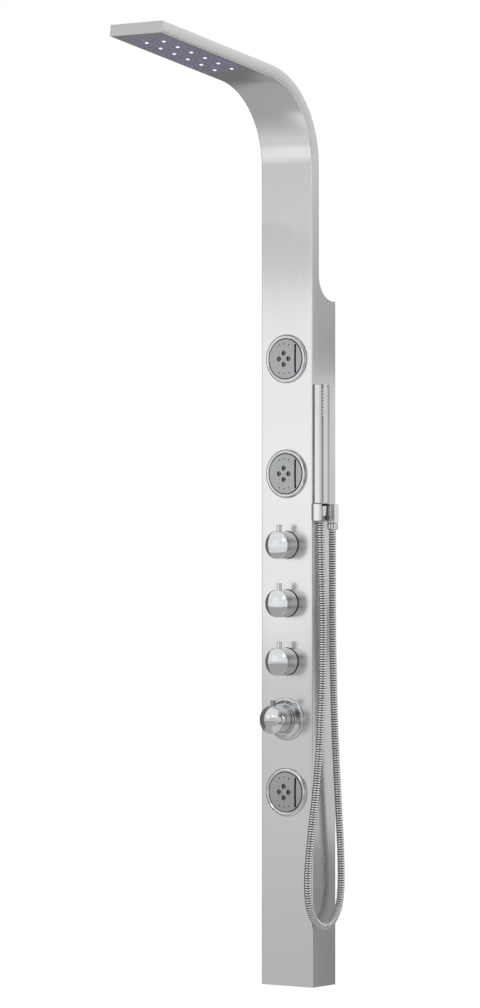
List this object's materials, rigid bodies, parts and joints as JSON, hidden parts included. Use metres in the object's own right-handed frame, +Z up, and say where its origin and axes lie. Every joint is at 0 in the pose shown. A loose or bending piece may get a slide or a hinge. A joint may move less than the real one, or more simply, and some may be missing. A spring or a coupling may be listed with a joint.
{
  "type": "shower panel column",
  "caption": "Wall-hung folded steel shower column with a forward-curving rain head arm, swivelling body jets, valve knobs, thermostat knob and a stick handset on a ribbed hose.",
  "frame": {"origin": "on the wall plane, on the centre line, at the bottom edge of the column", "axes": "+Z up; the front of the column and the arm face -Y; +Y points into the wall; the handset hangs on the +X side"},
  "size_m": [0.132, 0.4677, 1.5113],
  "materials": {
    "steel": "vertically brushed stainless sheet",
    "zinc_steel": "plain zinc-plated plate",
    "chrome": "polished",
    "satin_chrome": "satin",
    "hose_steel": "polished ribs",
    "jet_grey": "satin grey",
    "grey_plastic": "matt",
    "black_plastic": "matt",
    "white_plastic": "moulded",
    "hose_plastic": "smooth",
    "cable": "smooth",
    "black_rubber": "matt",
    "light_rubber": "matt",
    "silicone": "translucent, faint violet",
    "lens": "frosted",
    "board": "coated strip",
    "brass": "machined",
    "spring_steel": "bare wire"
  },
  "bodies": {
    "column": {"back_cover": "steel", "column_shell": "steel", "holder_bush": "grey_plastic", "hose_nut": "chrome", "inlet_nipples": "brass", "jet_bezel_1": "chrome", "jet_bezel_2": "chrome", "jet_bezel_3": "chrome", "jet_locknuts": "black_plastic", "jet_socket_1": "black_plastic", "jet_socket_2": "black_plastic", "jet_socket_3": "black_plastic", "knob_collars": "black_plastic", "light_boards": "board", "light_cable": "cable", "light_lenses": "lens", "lower_hanger": "zinc_steel", "lower_jet_pipe": "hose_plastic", "lower_wall_bracket": "zinc_steel", "outlet_block": "chrome", "outlet_gasket": "black_rubber", "outlet_locknut": "brass", "outlet_pipe": "hose_plastic", "rain_chamber": "white_plastic", "rain_nozzles": "silicone", "rain_pipe": "hose_plastic", "scale_ring": "satin_chrome", "shower_hose": "hose_steel", "stop_cartridges": "brass", "thermostat_cartridge": "brass", "thermostat_flange": "chrome", "upper_hanger": "zinc_steel", "upper_jet_pipe": "hose_plastic", "upper_wall_bracket": "zinc_steel", "valve_manifold": "brass", "water_generator": "black_plastic"},
    "hose_end": {"hose_cone_nut": "chrome", "hose_sleeve": "grey_plastic"},
    "handset": {"handset_body": "chrome", "handset_nozzles": "light_rubber", "handset_washer": "black_rubber"},
    "thermostat": {"thermostat_knob": "chrome", "thermostat_spindle": "brass", "button_spring": "spring_steel"},
    "safety_button": {"safety_button": "chrome"},
    "jet_ring_1": {"jet_seat_1": "black_plastic"},
    "jet_head_1": {"jet_face_1": "jet_grey"},
    "knob_1": {"knob_1": "chrome", "lever_pin_1": "chrome", "spindle_1": "brass"},
    "jet_ring_2": {"jet_seat_2": "black_plastic"},
    "jet_head_2": {"jet_face_2": "jet_grey"},
    "knob_2": {"knob_2": "chrome", "lever_pin_2": "chrome", "spindle_2": "brass"},
    "jet_ring_3": {"jet_seat_3": "black_plastic"},
    "jet_head_3": {"jet_face_3": "jet_grey"},
    "knob_3": {"knob_3": "chrome", "lever_pin_3": "chrome", "spindle_3": "brass"}
  },
  "joints": [
    {"name": "jet_spin_1", "type": "hinge", "parent": "column", "child": "jet_ring_1", "pos_m": [0, -0.064, 1.009], "axis": [0, -1, 0], "continuous": true},
    {"name": "jet_tilt_1", "type": "hinge", "parent": "jet_ring_1", "child": "jet_head_1", "pos_m": [0, -0.064, 1.009], "axis": [1, 0, 0], "range_deg": [-15, 15]},
    {"name": "jet_spin_2", "type": "hinge", "parent": "column", "child": "jet_ring_2", "pos_m": [0, -0.064, 0.824], "axis": [0, -1, 0], "continuous": true},
    {"name": "jet_tilt_2", "type": "hinge", "parent": "jet_ring_2", "child": "jet_head_2", "pos_m": [0, -0.064, 0.824], "axis": [1, 0, 0], "range_deg": [-15, 15]},
    {"name": "jet_spin_3", "type": "hinge", "parent": "column", "child": "jet_ring_3", "pos_m": [0, -0.064, 0.312], "axis": [0, -1, 0], "continuous": true},
    {"name": "jet_tilt_3", "type": "hinge", "parent": "jet_ring_3", "child": "jet_head_3", "pos_m": [0, -0.064, 0.312], "axis": [1, 0, 0], "range_deg": [-15, 15]},
    {"name": "knob_turn_1", "type": "hinge", "parent": "column", "child": "knob_1", "pos_m": [0, -0.08, 0.7095], "axis": [0, -1, 0], "range_deg": [0, 90]},
    {"name": "knob_turn_2", "type": "hinge", "parent": "column", "child": "knob_2", "pos_m": [0, -0.08, 0.61575], "axis": [0, -1, 0], "range_deg": [0, 90]},
    {"name": "knob_turn_3", "type": "hinge", "parent": "column", "child": "knob_3", "pos_m": [0, -0.08, 0.522], "axis": [0, -1, 0], "range_deg": [0, 90]},
    {"name": "temperature_turn", "type": "hinge", "parent": "column", "child": "thermostat", "pos_m": [0, -0.1, 0.4295], "axis": [0, -1, 0], "range_deg": [-150, 90]},
    {"name": "button_press", "type": "slide", "parent": "thermostat", "child": "safety_button", "axis": [0, 0, -1], "range_m": [0, 0.0025], "stiffness_N_per_m": 500, "springref_m": -0.002, "deforming": ["button_spring"]},
    {"name": "handset_lift", "type": "slide", "parent": "column", "child": "hose_end", "axis": [0, 0, 1], "range_m": [0, 0.03]},
    {"name": "handset_swivel", "type": "hinge", "parent": "hose_end", "child": "handset", "pos_m": [0.0667, -0.0646, 0.78], "axis": [0, 0, 1], "continuous": true}
  ]
}
